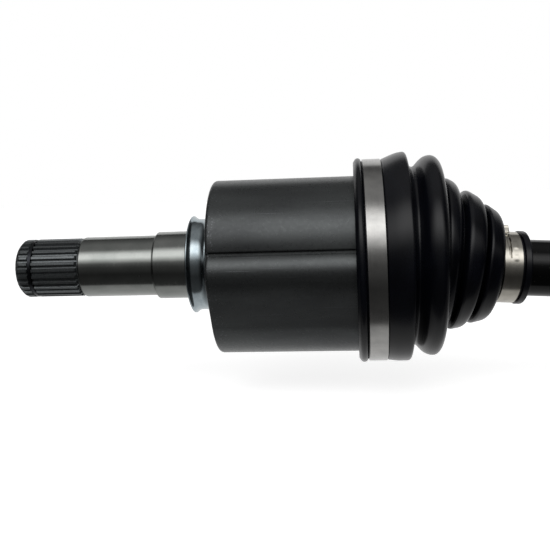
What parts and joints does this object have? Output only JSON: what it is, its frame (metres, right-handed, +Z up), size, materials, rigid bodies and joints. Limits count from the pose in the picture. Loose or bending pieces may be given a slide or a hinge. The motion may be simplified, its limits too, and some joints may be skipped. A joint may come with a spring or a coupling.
{
  "type": "cv axle",
  "caption": "Half shaft with a plunging tripod joint and splined stub at one end, and a ball joint with a splined, threaded stub at the other, each under a clamped rubber boot.",
  "frame": {"origin": "middle of the inner seal journal, on the inner stub's axis", "axes": "+X along the inner joint's axis from the gearbox end to the wheel end, +Z up; the bar and outer joint dip 3 degrees below +X at rest"},
  "size_m": [0.6624, 0.1062, 0.1217],
  "materials": {
    "oxide_black_steel": "satin black oxide with fine scratches",
    "forged_dark_steel": "turned dark forged steel",
    "black_gloss_paint": "gloss black stoved paint",
    "zinc_plated_steel": "bright blue-white zinc",
    "bushing_plastic": "matte moulded",
    "boot_rubber": "semi-gloss moulded rubber",
    "stainless_band": "satin rolled stainless",
    "stainless_ear_band": "bright rolled stainless",
    "spring_steel": "oiled spring steel",
    "bearing_steel": "ground and polished"
  },
  "bodies": {
    "axle": {"axle_shaft": "black_gloss_paint", "tripod_spider": "bearing_steel", "spider_snap_rings": "spring_steel", "trunnion_washers": "spring_steel", "trunnion_snap_rings": "spring_steel", "inner_small_clamp": "stainless_ear_band", "inner_race": "bearing_steel", "race_snap_rings": "spring_steel", "outer_small_clamp": "stainless_ear_band"},
    "inner_boot": {"inner_boot": "boot_rubber"},
    "inner_joint": {"inner_housing": "oxide_black_steel", "stub_circlip": "spring_steel", "dust_shield": "zinc_plated_steel", "trilobe_bushing": "bushing_plastic", "inner_large_clamp": "stainless_band"},
    "roller_1": {"roller_1": "bearing_steel"},
    "roller_2": {"roller_2": "bearing_steel"},
    "roller_3": {"roller_3": "bearing_steel"},
    "needle_set_1": {"needle_set_1": "bearing_steel"},
    "needle_set_2": {"needle_set_2": "bearing_steel"},
    "needle_set_3": {"needle_set_3": "bearing_steel"},
    "cage": {"ball_cage": "bearing_steel", "ball_1": "bearing_steel", "ball_2": "bearing_steel", "ball_3": "bearing_steel", "ball_4": "bearing_steel", "ball_5": "bearing_steel", "ball_6": "bearing_steel"},
    "outer_boot": {"outer_boot": "boot_rubber"},
    "outer_joint": {"outer_housing": "forged_dark_steel", "outer_large_clamp": "stainless_band"}
  },
  "joints": [
    {"name": "inner_tilt", "type": "hinge", "parent": "axle", "child": "inner_boot", "pos_m": [0.098, 0, 0], "axis": [0, 1, 0], "range_deg": [-12, 18], "deforming": ["inner_boot"]},
    {"name": "inner_plunge", "type": "slide", "parent": "inner_boot", "child": "inner_joint", "axis": [1, 0, 0], "range_m": [-0.015, 0.015], "deforming": ["inner_boot"]},
    {"name": "roller_1_spin", "type": "hinge", "parent": "axle", "child": "roller_1", "pos_m": [0.098, 0, 0], "axis": [0.0336, -0.766, 0.6419], "continuous": true},
    {"name": "roller_2_spin", "type": "hinge", "parent": "axle", "child": "roller_2", "pos_m": [0.098, 0, 0], "axis": [0.0179, 0.9397, 0.3416], "continuous": true},
    {"name": "roller_3_spin", "type": "hinge", "parent": "axle", "child": "roller_3", "pos_m": [0.098, 0, 0], "axis": [-0.0515, -0.1736, -0.9835], "continuous": true},
    {"name": "needle_set_1_spin", "type": "hinge", "parent": "axle", "child": "needle_set_1", "pos_m": [0.098, 0, 0], "axis": [0.0336, -0.766, 0.6419], "continuous": true},
    {"name": "needle_set_2_spin", "type": "hinge", "parent": "axle", "child": "needle_set_2", "pos_m": [0.098, 0, 0], "axis": [0.0179, 0.9397, 0.3416], "continuous": true},
    {"name": "needle_set_3_spin", "type": "hinge", "parent": "axle", "child": "needle_set_3", "pos_m": [0.098, 0, 0], "axis": [-0.0515, -0.1736, -0.9835], "continuous": true},
    {"name": "cage_steer", "type": "hinge", "parent": "axle", "child": "cage", "pos_m": [0.49246, 0, -0.02067], "axis": [0.0523, 0, 0.9986], "range_deg": [-20, 20], "deforming": ["outer_boot"]},
    {"name": "outer_steer", "type": "hinge", "parent": "cage", "child": "outer_boot", "pos_m": [0.49246, 0, -0.02067], "axis": [0.0523, 0, 0.9986], "range_deg": [-20, 20], "deforming": ["outer_boot"]},
    {"name": "outer_jounce", "type": "hinge", "parent": "outer_boot", "child": "outer_joint", "pos_m": [0.49246, 0, -0.02067], "axis": [0, 1, 0], "range_deg": [-12, 12], "deforming": ["outer_boot"]}
  ],
  "couplings": [
    {"joint": "roller_1_spin", "follows": "inner_plunge", "rad_per_m": 64.516},
    {"joint": "roller_2_spin", "follows": "inner_plunge", "rad_per_m": 64.516},
    {"joint": "roller_3_spin", "follows": "inner_plunge", "rad_per_m": 64.516},
    {"joint": "needle_set_1_spin", "follows": "inner_plunge", "rad_per_m": 35.576},
    {"joint": "needle_set_2_spin", "follows": "inner_plunge", "rad_per_m": 35.576},
    {"joint": "needle_set_3_spin", "follows": "inner_plunge", "rad_per_m": 35.576},
    {"joint": "cage_steer", "follows": "outer_steer", "ratio": 1}
  ]
}
